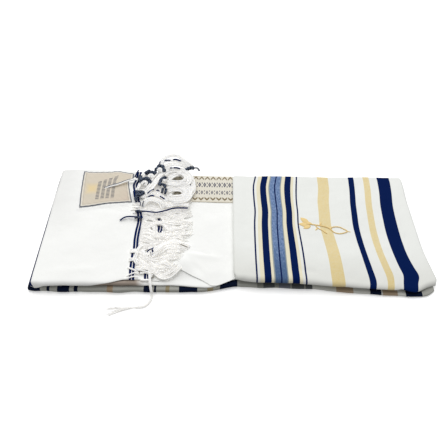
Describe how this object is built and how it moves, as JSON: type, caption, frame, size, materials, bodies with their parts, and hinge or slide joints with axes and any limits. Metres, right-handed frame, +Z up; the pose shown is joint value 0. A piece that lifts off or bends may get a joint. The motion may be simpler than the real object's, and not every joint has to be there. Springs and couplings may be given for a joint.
{
  "type": "folded prayer shawl",
  "caption": "Folded tallit prayer shawl lying flat, white cloth with navy, light blue and gold stripes, corner patch, neckband, fringe and knotted tzitzit.",
  "frame": {"origin": "centre of the flat underside that rests on a surface", "axes": "+X along the folded length, from the end with the patch to the striped end; +Y towards the long edges of the cloth; +Z up"},
  "size_m": [0.6801, 0.3556, 0.0329],
  "materials": {
    "white_cloth": "matt plain weave",
    "striped_cloth": "matt plain weave with navy, light blue and gold stripes",
    "patch_satin": "woven satin, beige with a grey-blue border",
    "band_satin": "woven satin, beige with brown and navy ornament",
    "white_thread": "twisted thread",
    "navy_thread": "white cord wound with navy thread"
  },
  "bodies": {
    "root": {"hidden_layers": "striped_cloth", "end_stretch": "white_cloth", "under_end": "white_cloth", "middle_stretch": "white_cloth", "right_stretch": "striped_cloth", "corner_patch": "patch_satin", "neckband": "band_satin", "upper_fringe": "white_thread", "under_fringe": "white_thread", "upper_tzitzit": "navy_thread", "under_tzitzit": "navy_thread", "front_string": "white_thread"}
  },
  "joints": []
}
